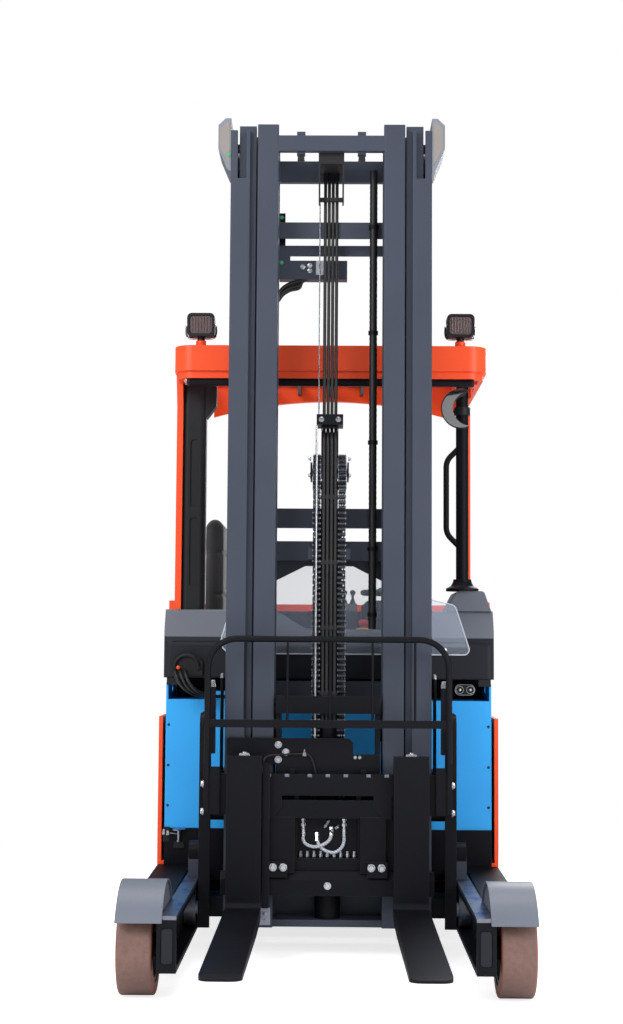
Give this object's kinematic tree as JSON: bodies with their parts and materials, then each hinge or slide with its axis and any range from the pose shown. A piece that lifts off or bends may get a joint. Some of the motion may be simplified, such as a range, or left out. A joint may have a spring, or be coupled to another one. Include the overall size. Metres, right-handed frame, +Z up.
{
  "type": "reach truck",
  "caption": "Reach truck with a three stage mast, tilting and side shifting fork carriage, load legs, battery and open cab under a guard.",
  "frame": {"origin": "on the floor, at the middle of the overall length and width", "axes": "+Z up, forks towards -Y, seat facing +X"},
  "size_m": [1.27, 2.57, 2.96],
  "materials": {
    "orange_paint": "gloss powder coat",
    "mast_paint": "satin blue grey enamel",
    "black_paint": "satin black powder coat",
    "battery_paint": "satin blue enamel",
    "fender_paint": "satin grey enamel",
    "bare_steel": "worn running face",
    "hard_chrome": "polished rod",
    "cast_hub": "machined cast hub",
    "chain_steel": "oiled leaf chain",
    "tread_urethane": "moulded urethane",
    "drive_tread": "moulded urethane",
    "moulded_grey": "fine textured moulding",
    "moulded_black": "fine textured moulding",
    "red_plastic": "moulded knob",
    "seat_fabric": "woven seat cloth",
    "clear_screen": "clear sheet",
    "lamp_glass": "lamp lens",
    "mirror_face": "convex mirror",
    "hose_rubber": "hose cover"
  },
  "bodies": {
    "chassis": {"chassis_base": "black_paint", "leg_left": "black_paint", "leg_right": "black_paint", "leg_rails": "bare_steel", "fenders": "fender_paint", "battery": "battery_paint", "side_panels": "orange_paint", "rear_shell": "orange_paint", "cowl": "moulded_grey", "cab_tub": "black_paint", "overhead_guard": "orange_paint", "roof_bars": "black_paint", "pillar_trim": "moulded_black", "entry_post": "black_paint", "windscreen": "clear_screen", "seat_base": "black_paint", "seat_cushion": "seat_fabric", "seat_back": "seat_fabric", "armrest": "seat_fabric", "steering_console": "moulded_black", "control_levers": "moulded_black", "stop_button": "red_plastic", "pedals": "black_paint", "work_lamps": "moulded_black", "lamp_lenses": "lamp_glass", "mirror": "mirror_face", "battery_plug": "moulded_black", "battery_leads": "hose_rubber", "reach_tubes": "black_paint"},
    "steering": {"steer_unit": "black_paint"},
    "drive_wheel": {"drive_tyre": "drive_tread", "drive_hub": "cast_hub"},
    "load_wheel_left": {"load_tyre_left": "tread_urethane", "load_hub_left": "cast_hub"},
    "load_wheel_right": {"load_tyre_right": "tread_urethane", "load_hub_right": "cast_hub"},
    "reach_stage": {"reach_carriage": "black_paint", "reach_rollers": "bare_steel", "reach_rods": "hard_chrome", "outer_mast": "mast_paint", "head_covers": "moulded_grey", "lift_tubes": "black_paint"},
    "middle_stage": {"middle_mast": "mast_paint", "lift_rods": "hard_chrome", "stage_chains": "chain_steel"},
    "inner_stage": {"inner_mast": "mast_paint", "free_lift_tube": "black_paint", "mast_hoses": "hose_rubber"},
    "head_stage": {"lift_head": "black_paint", "lift_chains": "chain_steel", "carriage_hoses": "hose_rubber"},
    "carriage_stage": {"lift_carriage": "black_paint"},
    "tilt_stage": {"tilt_frame": "black_paint"},
    "fork_stage": {"fork_bars": "black_paint", "load_backrest": "black_paint", "fork_left": "black_paint", "fork_right": "black_paint"}
  },
  "joints": [
    {"name": "load_spin_left", "type": "hinge", "parent": "chassis", "child": "load_wheel_left", "pos_m": [-0.58, -0.61, 0.15], "axis": [1, 0, 0], "continuous": true},
    {"name": "load_spin_right", "type": "hinge", "parent": "chassis", "child": "load_wheel_right", "pos_m": [0.58, -0.61, 0.15], "axis": [1, 0, 0], "continuous": true},
    {"name": "steer", "type": "hinge", "parent": "chassis", "child": "steering", "pos_m": [0, 1.015, 0.3], "axis": [0, 0, 1], "range_deg": [-90, 90]},
    {"name": "drive_spin", "type": "hinge", "parent": "steering", "child": "drive_wheel", "pos_m": [0, 1.015, 0.1715], "axis": [1, 0, 0], "continuous": true},
    {"name": "reach", "type": "slide", "parent": "chassis", "child": "reach_stage", "axis": [0, -1, 0], "range_m": [0, 0.56]},
    {"name": "mast_lift", "type": "slide", "parent": "reach_stage", "child": "middle_stage", "axis": [0, 0, 1], "range_m": [0, 2.1]},
    {"name": "inner_lift", "type": "slide", "parent": "middle_stage", "child": "inner_stage", "axis": [0, 0, 1], "range_m": [0, 2.1]},
    {"name": "free_lift", "type": "slide", "parent": "inner_stage", "child": "carriage_stage", "axis": [0, 0, 1], "range_m": [-0.12, 1.5]},
    {"name": "head_lift", "type": "slide", "parent": "inner_stage", "child": "head_stage", "axis": [0, 0, 1], "range_m": [-0.06, 0.75]},
    {"name": "tilt", "type": "hinge", "parent": "carriage_stage", "child": "tilt_stage", "pos_m": [0, -0.044, 0.575], "axis": [-1, 0, 0], "range_deg": [-2, 4]},
    {"name": "side_shift", "type": "slide", "parent": "tilt_stage", "child": "fork_stage", "axis": [1, 0, 0], "range_m": [-0.075, 0.075]}
  ],
  "couplings": [
    {"joint": "inner_lift", "follows": "mast_lift", "ratio": 1},
    {"joint": "head_lift", "follows": "free_lift", "ratio": 0.5}
  ]
}
